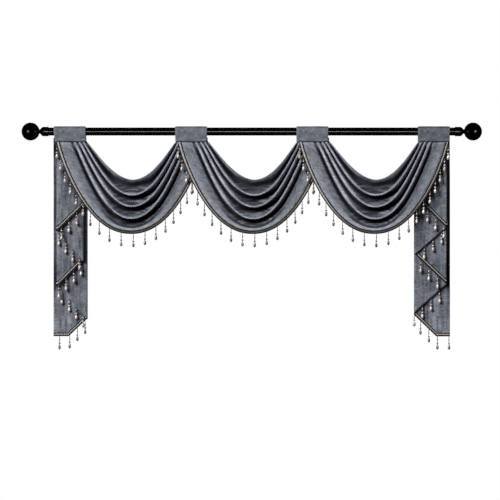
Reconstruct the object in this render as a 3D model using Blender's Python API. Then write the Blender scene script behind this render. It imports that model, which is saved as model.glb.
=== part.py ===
"""Swag and tail drape on a curtain rod.

Three draped swags hang from four cloth tabs that loop over a turned rod with ball finials. A tail, folded back
and forth like an accordion, falls behind the outer tab at each side. Bead fringe on braid follows every hem.

Frame: metres, +Z up, +X to the right, the room at -Y and the wall at +Y. The origin is on the rod's axis, at
the middle of its length.
"""

import bpy
import numpy as np

# Rod and finials
ROD_RADIUS = 0.0183
ROD_HALF_LENGTH = 0.924
BALL_RADIUS = 0.0410
COLLAR_RADIUS = 0.0214
COLLAR_LENGTH = 0.039
COLLAR_EDGE = 0.001  # chamfer where the collar meets the rod
SHOULDER_LENGTH = 0.016  # the collar's end rounds down to the neck over this length
NECK_RADIUS = 0.0098
NECK_LENGTH = 0.0035
ROUND_STEPS = 24
BALL_RINGS = 9
SHOULDER_RINGS = 4

# Gaps between pieces, and thicknesses of the cloths
GAP = 0.0003
CLOTH = 0.0020
TAB_CLOTH = 0.0055  # a tab is its cloth folded double
BRAID_CLOTH = 0.0012

# Tabs: four bands, evenly spaced along the rod
TAB_PITCH = 0.552
TAB_WIDTH = 0.145
TAB_BOTTOM = -0.0462
TAB_ARC_STEPS = 10
TAB_FACE = ROD_RADIUS + GAP  # distance of each leg's inner face from the rod's axis
HEADER_TOP = -0.028  # the cloths go up inside the tabs to here
SPREAD_FROM = -0.0435  # the swags' folds spread from here, just inside the tabs' bottom edges

# Swags
SWAG_COLUMNS = 27
SWAG_BULGE = 0.035  # how far the middle of a swag leans into the room
PLEAT = 0.0035  # half the depth of the pleats where a tab holds them
PLEAT_GAP = 0.0009  # between the pleats and a tab's leg, so that they clear its bottom edge as they spread
FRONT_END = -(TAB_FACE - PLEAT_GAP - CLOTH / 2 - PLEAT)  # middle of the pleats behind a tab's front leg
BACK_END = -FRONT_END  # middle of the pleats before a tab's back leg
SWAG_SHIFT = 0.0040  # each swag hangs a little right of the middle between its tabs

SWAG_LEAN = 0.0082  # the bottom of the top edge hangs this far right of its ends, the hem's not at all

# Fold lines of one swag from its top edge to its hem. Each line is z = -drop * (1 - u**bow)**ease, with u the
# distance from the middle over half_width. lift_end and lift_mid say how far the line stands into the room
# (crests) or back from it (creases), at the tabs and in the middle.
FOLD_LINES = (
    # name, half_width, drop, bow, ease, lift_end, lift_mid
    ("top_edge", 0.2045, 0.1760, 1.90, 1.16, 0.0020, 0.004),
    ("crease_1", 0.2120, 0.2090, 1.93, 1.16, -0.0035, -0.016),
    ("crest_1", 0.2205, 0.2460, 2.05, 1.18, 0.0035, 0.017),
    ("crease_2", 0.2290, 0.2620, 1.95, 1.15, -0.0035, -0.018),
    ("crest_2", 0.2380, 0.2985, 2.10, 1.22, 0.0035, 0.018),
    ("crease_3", 0.2480, 0.3150, 2.00, 1.15, -0.0035, -0.018),
    ("crest_3", 0.2600, 0.3530, 2.15, 1.22, 0.0035, 0.018),
    ("crease_4", 0.2710, 0.3670, 2.15, 1.15, -0.0035, -0.016),
    ("crest_4", 0.2830, 0.3880, 2.20, 1.12, 0.0035, 0.004),
    ("panel", 0.3115, 0.4040, 2.18, 0.97, 0.0035, 0.005),
    ("hem", 0.3420, 0.4225, 2.15, 0.84, 0.0025, 0.002),
)
ROWS_TO_CREASE = 2  # rows between a crest and the crease beside it
CREST_ROUND = 1.7  # how round a crest is: 1 is a sharp pleat

# Which leg of its tabs each swag is sewn to: the next swag's left end covers the right end before it
SWAG_ENDS = (
    # left end, right end
    (FRONT_END, BACK_END),
    (FRONT_END, BACK_END),
    (FRONT_END, FRONT_END),
)

# Tails: one cloth in five layers, from the layer at the front to the one at the back. Its folds are measured
# from the middle of the tab, positive towards the middle of the drape. Inside the tab the inner folds are at
# TAIL_INNER_TOP, and they spread as the layers open.
TAIL_OUTER = -0.0540
TAIL_INNER_TOP = 0.0690
TAIL_FRONT = -0.0030
TAIL_TOP_PITCH = (TAB_FACE - GAP - CLOTH / 2 - TAIL_FRONT) / 4
TAIL_PITCH = 0.0110
TAIL_PRESSED_TO = -0.070  # the layers open from TAIL_TOP_PITCH here ...
TAIL_OPEN_FROM = -0.260  # ... to TAIL_PITCH here
# Each tail's hem at its corners, from the free edge at the front to the one at the back
TAIL_LEFT_CORNERS = (
    # share of the way from the outer folds to the inner ones, layer, hem height
    (0.90, 0, -0.338),
    (0.00, 0, -0.450),
    (0.00, 1, -0.454),
    (0.87, 1, -0.586),
    (0.87, 2, -0.591),
    (0.00, 2, -0.702),
    (0.00, 3, -0.706),
    (1.00, 3, -0.848),
    (1.00, 4, -0.856),
    (0.37, 4, -0.932),
    (-0.17, 4, -0.932),
)
TAIL_RIGHT_CORNERS = (
    (1.03, 0, -0.294),
    (0.00, 0, -0.434),
    (0.00, 1, -0.438),
    (1.00, 1, -0.557),
    (1.00, 2, -0.561),
    (0.00, 2, -0.690),
    (0.00, 3, -0.699),
    (1.00, 3, -0.820),
    (1.00, 4, -0.841),
    (0.30, 4, -0.933),
    (-0.16, 4, -0.933),
)
TAIL_SIDES = (
    # name, side of the drape, inner folds once they have spread, distance between strands, the last strand's
    # distance from the back edge, hem
    ("left", -1, 0.0740, 0.0480, 0.028, TAIL_LEFT_CORNERS),
    ("right", 1, 0.0825, 0.0522, 0.005, TAIL_RIGHT_CORNERS),
)
TAIL_ROW_SHARES = (0.0, 0.04, 0.1, 0.2, 0.34, 0.52, 0.74, 1.0)
FOLD_ARC_STEPS = 4

# Fringe: braid with strands of beads
BRAID_WIDTH = 0.0165
BRAID_GAP = 0.0009
BRAID_TOP = TAB_BOTTOM - 0.0015  # the swags' braid stays below the tabs
BRAID_START = 0.0062  # ... and starts this far along the hem
STRAND_SPACINGS = (0.0555, 0.0544)  # left and right of a swag's middle strand
STRAND_SPREAD = 0.00015
STRANDS_A_SIDE = 10
STRAND_HALF = 0.0008
STRAND_PHASE = 0.0100  # the middle strand of a swag hangs this far right of the middle of its hem
SQUARE_FOR_ROUND = np.sqrt(np.pi) / 2  # a square as large as a round bead, half its side over the radius
FOLD_CLEAR = 0.0022  # no strand's root is nearer than this to a fold or corner of a tail's hem
STRAND_RINGS = (
    # drop below the braid, radius
    (0.0230, 0.0014),
    (0.0330, 0.0030),
    (0.0510, 0.0046),
    (0.0620, 0.0012),
)


# ---------------------------------------------------------------- meshes


def add_object(name, points, faces, material, smooth_deg=50):
    """One closed mesh as a named object."""
    mesh = bpy.data.meshes.new(name)
    mesh.from_pydata([tuple(map(float, p)) for p in points], [], faces)
    mesh.validate()
    mesh.shade_smooth()
    mesh.set_sharp_from_angle(angle=np.radians(smooth_deg))
    mesh.materials.append(material)
    piece = bpy.data.objects.new(name, mesh)
    bpy.context.scene.collection.objects.link(piece)
    return piece


def grid_normals(grid):
    """Unit normals of a grid of points; they face the room where rows run down and columns to the right."""
    along = np.gradient(grid, axis=1)
    down = np.gradient(grid, axis=0)
    normal = np.cross(down, along)
    return normal / np.linalg.norm(normal, axis=2, keepdims=True)


def sheet_mesh(grid, thickness):
    """Points and faces of a closed sheet whose middle surface is the grid; the grid's normals face out of it."""
    rows, columns = grid.shape[:2]
    offset = grid_normals(grid) * thickness / 2
    points = np.concatenate([(grid + offset).reshape(-1, 3), (grid - offset).reshape(-1, 3)])
    back = rows * columns
    faces = []
    for r in range(rows - 1):
        for c in range(columns - 1):
            a, b = r * columns + c, r * columns + c + 1
            d, e = a + columns, b + columns
            faces.append((a, d, e, b))
            faces.append((back + a, back + b, back + e, back + d))
    rim = [c for c in range(columns)]
    rim += [r * columns + columns - 1 for r in range(1, rows)]
    rim += [(rows - 1) * columns + c for c in range(columns - 2, -1, -1)]
    rim += [r * columns for r in range(rows - 2, 0, -1)]
    for a, b in zip(rim, rim[1:] + rim[:1]):
        faces.append((a, b, back + b, back + a))
    return points, faces


def turned_mesh(profile, steps):
    """A solid turned about the X axis, from (x, radius) pairs; its two ends close on flat faces."""
    points, faces = [], []
    for x, radius in profile:
        for k in range(steps):
            angle = 2 * np.pi * k / steps
            points.append((x, radius * np.cos(angle), radius * np.sin(angle)))
    for ring in range(len(profile) - 1):
        for k in range(steps):
            a, b = ring * steps + k, ring * steps + (k + 1) % steps
            faces.append((a, b, b + steps, a + steps))
    last = (len(profile) - 1) * steps
    faces.append(tuple(reversed(range(steps))))
    faces.append(tuple(range(last, last + steps)))
    return points, faces


# ---------------------------------------------------------------- rod and finials


def rod_profile():
    return [(-ROD_HALF_LENGTH, ROD_RADIUS), (ROD_HALF_LENGTH, ROD_RADIUS)]


def finial_profile():
    """Collar, neck and ball, from the rod's right end outwards."""
    start = ROD_HALF_LENGTH + GAP
    neck = start + COLLAR_LENGTH
    ball = neck + NECK_LENGTH + np.sqrt(BALL_RADIUS**2 - NECK_RADIUS**2)
    profile = [(start, COLLAR_RADIUS - COLLAR_EDGE), (start + COLLAR_EDGE, COLLAR_RADIUS)]
    for share in np.linspace(0, 1, SHOULDER_RINGS + 1):
        radius = NECK_RADIUS + (COLLAR_RADIUS - NECK_RADIUS) * np.cos(share * np.pi / 2)
        profile.append((neck - SHOULDER_LENGTH * (1 - share), radius))
    first = np.arcsin(NECK_RADIUS / BALL_RADIUS)
    for angle in np.linspace(first, np.pi - 0.12, BALL_RINGS + 2):
        profile.append((ball - BALL_RADIUS * np.cos(angle), BALL_RADIUS * np.sin(angle)))
    return profile


def build_rod(material):
    points, faces = turned_mesh(rod_profile(), ROUND_STEPS)
    add_object("rod", points, faces, material, 40)


def build_finials(material):
    right = finial_profile()
    left = [(-x, radius) for x, radius in reversed(right)]
    for name, profile in (("finial_left", left), ("finial_right", right)):
        points, faces = turned_mesh(profile, ROUND_STEPS)
        add_object(name, points, faces, material, 40)


# ---------------------------------------------------------------- tabs


def tab_centres():
    return [(k - 1.5) * TAB_PITCH for k in range(4)]


def tab_section():
    """The band's middle line over the rod, as (y, z), from the front leg's foot to the back leg's."""
    radius = TAB_FACE + TAB_CLOTH / 2
    section = [(-radius, TAB_BOTTOM)]
    for k in range(TAB_ARC_STEPS + 1):
        angle = np.pi * k / TAB_ARC_STEPS
        section.append((-radius * np.cos(angle), radius * np.sin(angle)))
    section.append((radius, TAB_BOTTOM))
    return section


def build_tabs(material):
    # the arc's flat steps are pushed out so that their middles stay clear of the rod
    slack = 1 / np.cos(np.pi / TAB_ARC_STEPS / 2)
    for k, centre in enumerate(tab_centres()):
        grid = np.array([
            [(centre + side * TAB_WIDTH / 2, y * slack, z * slack if z > 0 else z) for side in (1, -1)]
            for y, z in tab_section()
        ])
        points, faces = sheet_mesh(grid, TAB_CLOTH)
        add_object(f"tab_{k + 1}", points, faces, material)


# ---------------------------------------------------------------- swags


def smooth_step(t):
    t = np.clip(t, 0, 1)
    return t * t * (3 - 2 * t)


def fold_line(half_width, drop, bow, ease, shares):
    """(x, z) of one fold line at the given shares of its length, 0 at the left tab and 1 at the right."""
    u = np.sin(np.linspace(-np.pi / 2, np.pi / 2, 241))
    z = -drop * (1 - np.abs(u) ** bow) ** ease
    top_drop, hem_drop = FOLD_LINES[0][2], FOLD_LINES[-1][2]
    lean = SWAG_LEAN * (hem_drop - drop) / (hem_drop - top_drop)
    x = half_width * u - lean * z / drop
    length = np.concatenate([[0], np.cumsum(np.hypot(np.diff(x), np.diff(z)))])
    at = np.asarray(shares) * length[-1]
    return np.interp(at, length, x), np.interp(at, length, z)


def line_length(name):
    half_width, drop, bow, ease = next(row[1:5] for row in FOLD_LINES if row[0] == name)
    x, z = fold_line(half_width, drop, bow, ease, np.linspace(0, 1, 400))
    return float(np.hypot(np.diff(x), np.diff(z)).sum())


def base_depth(share, ends):
    """y of the swag's middle surface, before its folds."""
    left, right = ends
    t = 2 * share - 1
    return left + (right - left) * smooth_step(share) - SWAG_BULGE * (1 - t * t) ** 1.5


def line_points(row, shares, ends):
    """Points along one row of FOLD_LINES."""
    _, half_width, drop, bow, ease, lift_end, lift_mid = row
    x, z = fold_line(half_width, drop, bow, ease, shares)
    t = 2 * shares - 1
    lift = lift_end + (lift_mid - lift_end) * (1 - t * t) ** 0.8
    return np.stack([x, base_depth(shares, ends) - lift, SPREAD_FROM + z], axis=-1)


def is_crest(row):
    return row[0].startswith("crest") or row[0] == "top_edge"


def between(upper, lower, shares, ends, w):
    """Points at w of the way from one fold line down to the next, rounded at the crest."""
    a, b = line_points(upper, shares, ends), line_points(lower, shares, ends)
    mix = a + (b - a) * w
    if "crease" in upper[0] + lower[0]:
        eased = w**CREST_ROUND if is_crest(upper) else 1 - (1 - w) ** CREST_ROUND
        mix[:, 1] = a[:, 1] + (b[:, 1] - a[:, 1]) * eased
    return mix


def swag_rows(shares, ends):
    """The swag's surface as rows of points, from its top edge down to its hem."""
    rows = []
    for upper, lower in zip(FOLD_LINES, FOLD_LINES[1:]):
        steps = ROWS_TO_CREASE if "crease" in upper[0] + lower[0] else 1
        rows += [between(upper, lower, shares, ends, k / steps) for k in range(steps)]
    rows.append(line_points(FOLD_LINES[-1], shares, ends))
    return np.array(rows)


def add_headers(rows):
    """Carries each row straight up into the tabs at both ends."""
    left, right = rows[:, :1].copy(), rows[:, -1:].copy()
    left[:, :, 2] = HEADER_TOP
    right[:, :, 2] = HEADER_TOP
    return np.concatenate([left, rows, right], axis=1)


def swag_centre(k):
    return (k - 1) * TAB_PITCH + SWAG_SHIFT


def build_swags(material):
    shares = np.linspace(0, 1, SWAG_COLUMNS)
    for k, ends in enumerate(SWAG_ENDS):
        grid = add_headers(swag_rows(shares, ends))
        grid[:, :, 0] += swag_centre(k)
        points, faces = sheet_mesh(grid, CLOTH)
        add_object(f"swag_{k + 1}", points, faces, material)


# ---------------------------------------------------------------- fringe


def strand_sites(length):
    """Distances along a swag's hem of its strands, which spread a little on the steep left flank."""
    k = np.arange(-STRANDS_A_SIDE, STRANDS_A_SIDE + 1)
    left, right = STRAND_SPACINGS
    return length / 2 + STRAND_PHASE + k * np.where(k < 0, left - STRAND_SPREAD * k, right)


def braid_stations(start, end, plain, sites):
    """Distances along a hem for the braid's columns, and which columns start a strand's root."""
    roots_at = [site - STRAND_HALF for site in sites]
    stations = sorted([start, end, *plain, *roots_at, *(site + STRAND_HALF for site in sites)])
    return np.array(stations), [stations.index(at) for at in roots_at]


def fringe_mesh(grid, roots):
    """Braid whose bottom row is the grid's last, with a strand drawn down from its edge at each root column."""
    points, faces = sheet_mesh(grid, BRAID_CLOTH)
    points = list(points)
    rows, columns = grid.shape[:2]
    back = rows * columns
    edge = (rows - 1) * columns
    for c in roots:
        corners = [edge + c, back + edge + c, back + edge + c + 1, edge + c + 1]
        face = next(f for f in faces if set(f) == set(corners))
        faces.remove(face)
        centre = np.mean([points[i] for i in face], axis=0)
        ring = list(face)
        for drop, radius in STRAND_RINGS:
            lower = []
            for i in face:
                side = np.sign(points[i] - centre) * (1, 1, 0) * radius * SQUARE_FOR_ROUND
                lower.append(len(points))
                points.append(centre + side - (0, 0, drop))
            for k in range(4):
                j = (k + 1) % 4
                faces.append((ring[k], ring[j], lower[j], lower[k]))
            ring = lower
        faces.append(tuple(ring))
    return points, faces


def swag_braid_grid(shares, ends):
    """Two rows in front of the swag's hem: the braid's top edge and its bottom edge."""
    panel, hem = FOLD_LINES[-2:]
    bottom = line_points(hem, shares, ends)
    inner = line_points(panel, shares, ends)
    towards = inner - bottom
    towards /= np.linalg.norm(towards, axis=1, keepdims=True)
    # next to the tab the panel is wide, and its direction is level; the braid stays square to the hem
    run = np.gradient(bottom, axis=0)
    run /= np.linalg.norm(run, axis=1, keepdims=True)
    square = towards - run * np.sum(towards * run, axis=1, keepdims=True)
    square /= np.linalg.norm(square, axis=1, keepdims=True)
    top = bottom + square * BRAID_WIDTH
    top[:, 2] = np.minimum(top[:, 2], BRAID_TOP)
    grid = np.array([top, bottom])
    return grid + grid_normals(grid) * (CLOTH / 2 + BRAID_GAP + BRAID_CLOTH / 2)


def build_swag_fringes(material):
    length = line_length("hem")
    sites = strand_sites(length)
    middles = (sites[1:] + sites[:-1]) / 2
    stations, roots = braid_stations(BRAID_START, length - BRAID_START, middles, sites)
    for k, ends in enumerate(SWAG_ENDS):
        grid = swag_braid_grid(stations / length, ends)
        grid[:, :, 0] += swag_centre(k)
        points, faces = fringe_mesh(grid, roots)
        add_object(f"swag_fringe_{k + 1}", points, faces, material)


# ---------------------------------------------------------------- tails


def opened(z):
    """How far the tail's layers have opened at a height, from 0 to 1."""
    return smooth_step((TAIL_PRESSED_TO - z) / (TAIL_PRESSED_TO - TAIL_OPEN_FROM))


def tail_plan(inner, corners):
    """Stations along the tail's width: share of the way to the inner folds, layer (a fraction on a fold), the
    hem's height there, how far a fold swells past its share (-1 to 1), and the braid's height there, which
    makes its width square to the hem."""
    width = inner - TAIL_OUTER
    plan = []
    for (share0, layer0, z0), (share1, layer1, z1) in zip(corners, corners[1:]):
        folds = layer0 != layer1
        if not folds:
            run, fall = (share1 - share0) * width, z1 - z0
            rise = BRAID_WIDTH * np.hypot(run, fall) / abs(run)
        plan.append((share0, layer0, z0, 0.0, rise))
        for k in range(1, FOLD_ARC_STEPS if folds else 1):
            turn = np.pi * k / FOLD_ARC_STEPS
            layer = layer0 + (1 - np.cos(turn)) / 2
            way = 1 if share0 > 0.5 else -1
            plan.append((share0, layer, z0 + (z1 - z0) * k / FOLD_ARC_STEPS, way * np.sin(turn), rise))
    plan.append((share1, layer1, z1, 0.0, rise))
    return plan


def tail_point(station, z, inner, side=0.0):
    """A point of the tail at a height; side moves it off the cloth, and is positive towards its right side."""
    share, layer, _, swell, _ = station
    pitch = TAIL_TOP_PITCH + (TAIL_PITCH - TAIL_TOP_PITCH) * opened(z)
    fold = TAIL_INNER_TOP + (inner - TAIL_INNER_TOP) * opened(z)
    x = TAIL_OUTER + (fold - TAIL_OUTER) * share
    whole = int(np.floor(layer + 1e-9))
    y = TAIL_FRONT + layer * pitch
    if swell == 0:
        facing = -1 if whole % 2 == 0 else 1
        return np.array([x, y + facing * side, z])
    # the right side is outside the folds at the outer edge and inside those at the inner edge
    middle = np.array([x, TAIL_FRONT + (whole + 0.5) * pitch])
    out = np.array([swell * pitch / 2, y - middle[1]])
    out *= 1 - np.sign(swell) * side / np.linalg.norm(out)
    return np.array([*(middle + out), z])


def tail_grid(plan, inner):
    return np.array([
        [tail_point(s, HEADER_TOP + (s[2] - HEADER_TOP) * share, inner) for s in plan]
        for share in TAIL_ROW_SHARES
    ])


def station_at(distance, walk, plan):
    """The plan station at a distance along the hem."""
    k = int(np.clip(np.searchsorted(walk, distance, side="right") - 1, 0, len(plan) - 2))
    w = (distance - walk[k]) / (walk[k + 1] - walk[k])
    a, b = np.array(plan[k]), np.array(plan[k + 1])
    return tuple(a + (b - a) * w)


def tail_braid_grid(plan, inner, spacing, last_strand):
    """Two rows on the right side of the tail's hem, and which columns start a strand's root."""
    hem = np.array([tail_point(s, s[2], inner) for s in plan])
    walk = np.concatenate([[0], np.cumsum(np.linalg.norm(np.diff(hem, axis=0), axis=1))])
    along = np.arange(walk[-1] - last_strand, 0, -spacing)[::-1]
    sites = [d for d in along if np.min(np.abs(walk - d)) > FOLD_CLEAR]
    stations, roots = braid_stations(walk[0], walk[-1], walk[1:-1], sites)
    spots = [station_at(d, walk, plan) for d in stations]
    side = CLOTH / 2 + BRAID_GAP + BRAID_CLOTH / 2
    return np.array([[tail_point(s, s[2] + s[4] * up, inner, side) for s in spots] for up in (1, 0)]), roots


def build_tails(cloth, trim):
    for name, way, inner, spacing, last_strand, corners in TAIL_SIDES:
        plan = tail_plan(inner, corners)
        mirror, centre = (-way, 1, 1), (1.5 * TAB_PITCH * way, 0, 0)
        points, faces = sheet_mesh(tail_grid(plan, inner) * mirror + centre, CLOTH)
        add_object(f"tail_{name}", points, faces, cloth)
        braid, roots = tail_braid_grid(plan, inner, spacing, last_strand)
        points, faces = fringe_mesh(braid * mirror + centre, roots)
        add_object(f"tail_fringe_{name}", points, faces, trim)


# ---------------------------------------------------------------- materials and the whole


def make_material(name, colour, roughness, metallic=0.0):
    material = bpy.data.materials.new(name)
    material.use_nodes = True
    shader = material.node_tree.nodes["Principled BSDF"]
    shader.inputs["Base Color"].default_value = (*colour, 1)
    shader.inputs["Roughness"].default_value = roughness
    shader.inputs["Metallic"].default_value = metallic
    return material


def main():
    for old in list(bpy.data.objects):
        bpy.data.objects.remove(old)
    cloth = make_material("slate_velvet", (0.16, 0.175, 0.205), 0.85)
    lacquer = make_material("black_lacquer", (0.006, 0.006, 0.007), 0.18)
    trim = make_material("beaded_trim", (0.42, 0.35, 0.31), 0.4)
    build_rod(lacquer)
    build_finials(lacquer)
    build_tabs(cloth)
    build_swags(cloth)
    build_swag_fringes(trim)
    build_tails(cloth, trim)


main()
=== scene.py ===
"""Looks of the swag and tail drape: three draped swags and two folded tails of slate chenille velvet, with
bead fringe, on a black lacquered rod. Metres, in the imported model's frame: +Z up, +X right, and the room
at -Y."""

from collections import namedtuple

import bpy
import numpy as np
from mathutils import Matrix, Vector


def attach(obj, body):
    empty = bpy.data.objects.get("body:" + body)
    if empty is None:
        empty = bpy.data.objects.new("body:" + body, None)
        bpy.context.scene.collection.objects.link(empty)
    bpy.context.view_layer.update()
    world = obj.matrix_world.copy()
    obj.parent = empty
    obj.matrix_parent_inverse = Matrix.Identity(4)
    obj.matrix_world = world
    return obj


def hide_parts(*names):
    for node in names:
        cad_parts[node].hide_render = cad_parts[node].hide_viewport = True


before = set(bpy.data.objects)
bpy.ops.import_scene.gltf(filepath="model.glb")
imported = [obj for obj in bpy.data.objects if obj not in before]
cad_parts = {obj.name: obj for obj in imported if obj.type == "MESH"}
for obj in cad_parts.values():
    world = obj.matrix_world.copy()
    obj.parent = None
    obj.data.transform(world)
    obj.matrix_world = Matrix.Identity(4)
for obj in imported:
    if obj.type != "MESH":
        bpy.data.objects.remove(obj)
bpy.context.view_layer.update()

# ---------------------------------------------------------------- sizes, as in the part's source

ROD_RADIUS = 0.0183
ROD_HALF_LENGTH = 0.924
BALL_RADIUS = 0.0410
COLLAR_RADIUS = 0.0214
COLLAR_LENGTH = 0.039
COLLAR_EDGE = 0.001
SHOULDER_LENGTH = 0.016
NECK_RADIUS = 0.0098
NECK_LENGTH = 0.0035

GAP = 0.0003  # between solids that touch in the real drape
CLOTH = 0.0020
TAB_CLOTH = 0.0055
BRAID_CLOTH = 0.0012

TAB_PITCH = 0.552
TAB_WIDTH = 0.145
TAB_BOTTOM = -0.0462
TAB_FACE = ROD_RADIUS + GAP
HEADER_TOP = -0.028
SPREAD_FROM = -0.0435  # the swags' folds spread from here, just inside the tabs' bottom edges

SWAG_BULGE = 0.035  # how far the middle of a swag leans into the room
PLEAT = 0.0035  # half the depth of the pleats where a tab holds them
PLEAT_GAP = 0.0009  # between the pleats and a tab's leg
FRONT_END = -(TAB_FACE - PLEAT_GAP - CLOTH / 2 - PLEAT)  # middle of the pleats behind a tab's front leg
BACK_END = -FRONT_END  # middle of the pleats before a tab's back leg
SWAG_SHIFT = 0.0040  # each swag hangs a little right of the middle between its tabs
SWAG_LEAN = 0.0082  # the bottom of the top edge hangs this far right of its ends, the hem's not at all

# Fold lines of one swag from its top edge to its hem. Each line is z = -drop * (1 - u**bow)**ease, where u is
# the distance from the middle over half_width. lift_end and lift_mid say how far the line stands into the
# room (crests) or back from it (creases), at the tabs and in the middle.
FOLD_LINES = (
    # name, half_width, drop, bow, ease, lift_end, lift_mid
    ("top_edge", 0.2045, 0.1760, 1.90, 1.16, 0.0020, 0.004),
    ("crease_1", 0.2120, 0.2090, 1.93, 1.16, -0.0035, -0.016),
    ("crest_1", 0.2205, 0.2460, 2.05, 1.18, 0.0035, 0.017),
    ("crease_2", 0.2290, 0.2620, 1.95, 1.15, -0.0035, -0.018),
    ("crest_2", 0.2380, 0.2985, 2.10, 1.22, 0.0035, 0.018),
    ("crease_3", 0.2480, 0.3150, 2.00, 1.15, -0.0035, -0.018),
    ("crest_3", 0.2600, 0.3530, 2.15, 1.22, 0.0035, 0.018),
    ("crease_4", 0.2710, 0.3670, 2.15, 1.15, -0.0035, -0.016),
    ("crest_4", 0.2830, 0.3880, 2.20, 1.12, 0.0035, 0.004),
    ("panel", 0.3115, 0.4040, 2.18, 0.97, 0.0035, 0.005),
    ("hem", 0.3420, 0.4225, 2.15, 0.84, 0.0025, 0.002),
)
# The depth of each swag's left and right end: each swag lies in front of the one to its left
SWAG_ENDS = ((FRONT_END, BACK_END), (FRONT_END, BACK_END), (FRONT_END, FRONT_END))

# Both tails are drawn as the left one, with x from the middle of its tab, and the right one is mirrored
TAIL_OUTER = -0.0540
TAIL_INNER_TOP = 0.0690
TAIL_FRONT = -0.0030
TAIL_TOP_PITCH = (TAB_FACE - GAP - CLOTH / 2 - TAIL_FRONT) / 4  # between layers where the tab holds them
TAIL_PITCH = 0.0110  # ... and lower down
TAIL_PRESSED_TO = -0.070
TAIL_OPEN_FROM = -0.260
TAIL_LEFT_CORNERS = (
    # share of the way from the outer folds to the inner ones, layer, hem height
    (0.90, 0, -0.338),
    (0.00, 0, -0.450),
    (0.00, 1, -0.454),
    (0.87, 1, -0.586),
    (0.87, 2, -0.591),
    (0.00, 2, -0.702),
    (0.00, 3, -0.706),
    (1.00, 3, -0.848),
    (1.00, 4, -0.856),
    (0.37, 4, -0.932),
    (-0.17, 4, -0.932),
)
TAIL_RIGHT_CORNERS = (
    (1.03, 0, -0.294),
    (0.00, 0, -0.434),
    (0.00, 1, -0.438),
    (1.00, 1, -0.557),
    (1.00, 2, -0.561),
    (0.00, 2, -0.690),
    (0.00, 3, -0.699),
    (1.00, 3, -0.820),
    (1.00, 4, -0.841),
    (0.30, 4, -0.933),
    (-0.16, 4, -0.933),
)
TAIL_SIDES = (
    # name, side of the drape, inner folds once they have spread, distance between strands, the last strand's
    # distance from the back edge, hem
    ("left", -1, 0.0740, 0.0480, 0.028, TAIL_LEFT_CORNERS),
    ("right", 1, 0.0825, 0.0522, 0.005, TAIL_RIGHT_CORNERS),
)

BRAID_WIDTH = 0.0165
BRAID_GAP = 0.0009
BRAID_TOP = TAB_BOTTOM - 0.0015
BRAID_START = 0.0062  # how far along a swag's hem its braid starts
STRAND_SPACINGS = (0.0555, 0.0544)  # left and right of a swag's middle strand
STRAND_SPREAD = 0.00015  # to the left each spacing is wider than the one before by twice this
STRANDS_A_SIDE = 10
STRAND_PHASE = 0.0100  # the middle strand of a swag hangs this far right of the middle of its hem
FOLD_CLEAR = 0.0022  # no strand's root is nearer than this to a fold or corner of a tail's hem
ROOT_OFFSET = CLOTH / 2 + BRAID_GAP + BRAID_CLOTH / 2  # from the middle of the cloth to a strand's root

# ---------------------------------------------------------------- finer detail, for the looks alone

ROD_EDGE = 0.0006
ROUND_STEPS = 96  # around the rod and the finials
BALL_STEPS = 40  # along a ball's profile
COLLAR_PROFILE = 19  # points of a finial's profile down to its neck
SHARP_ANGLE = np.radians(30)

SHEET = 0.0014  # thickness of the cloth as shown, inside the solid's
TAB_COLUMNS = 49
TAB_LEG_ROWS = 18
TAB_ARC_ROWS = 40
TAB_TONES_AND_SHADE = (0.485, 0.485, 0.485, 0.405)  # each tab's tone; the last is darker with painted shade
TAB_LEANS = (0.0030, 0.0010, -0.0020, 0.0)  # how far right each tab's foot hangs
TAB_SWAY = 0.0022  # ... give or take this
TAB_PINCH = 0.0012  # how far the corners of its foot are drawn in
TAB_WAVE = 0.0006
SEAM_ABOVE_FOOT = 0.0110

LINE_STEPS = 961  # points from which a fold line's length is taken
SWAG_COLUMNS = 221
ROWS_TO_CREASE = 10
ROWS_ON_PANEL = 9
CREST_ROUND = 1.35
# A crease lies just under the crest above it, but on a swag's right flank just over the one below, this far
# down to it. It moves there from FLANK_FROM of its length over FLANK_OVER, and back over FLANK_END
FLANK_CREASE = 0.80
FLANK_FROM = 0.54
FLANK_OVER = 0.14
FLANK_END = 0.07
WRINKLE_DEPTH = 0.0012  # of the level wrinkles in the cloth that hangs back from a crest
# painted light on the wrinkles where they stand out, and painted shade where they sink
WRINKLE_PAINTED_LIGHT = 0.30
HANG_DOWN = 0.0020  # how far folds stray up or down
HANG_OUT = 0.0030  # ... and out or in

LAST_LAYER = 4  # of a tail, from 0 in front
LOWEST_HEM = -0.90  # only that layer's hem hangs below this
TAIL_ROWS = 90
TAIL_FLAT_STEPS = 22
TAIL_ARC_STEPS = 8
RIPPLE_DEPTH = 0.0011
DENT_DEPTH = 0.0007

BRAID_ROWS = 13
BRAID_COLUMNS = 321
CORD_DEPTH = 0.0010  # how far the braid's cords stand out
GIMP_DEPTH = 0.0013
TAIL_LINE = 0.42  # the light line runs at this share of the way across the tails' braid
TAIL_LINE_BREADTH = 0.80
TAIL_LINE_LIT = 1.08

# One strand of the fringe, from the braid down: seed beads on a thread, a bead, more seeds, a pearl, a drop
STRAND_BEADS = (
    # middle below the braid, radius, half height over radius
    (0.0160, 0.0030, 1.25),
    (0.0330, 0.0046, 0.90),
)
SEED_RADIUS = 0.0018
SEED_RUNS = ((0.0016, 0.0112), (0.0206, 0.0284))  # first and last seed of each run, below the braid
SEED_PITCH = 1.2 * SEED_RADIUS
THREAD_RADIUS = 0.00035
THREAD_LENGTH = 0.0385
SEED_GLOW = 0.16  # how light the seed beads are beside the others
CLEAR_PAINTED_SHADE = 0.46  # painted shade: how much darker a strand is where it hangs clear of the cloth
CLOTH_PAINTED_LIGHT = 1.30  # painted light: how much lighter a strand is where it lies over cloth
OVER_CLOTH = 1.18  # the beads that lie over cloth look this much stouter
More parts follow.
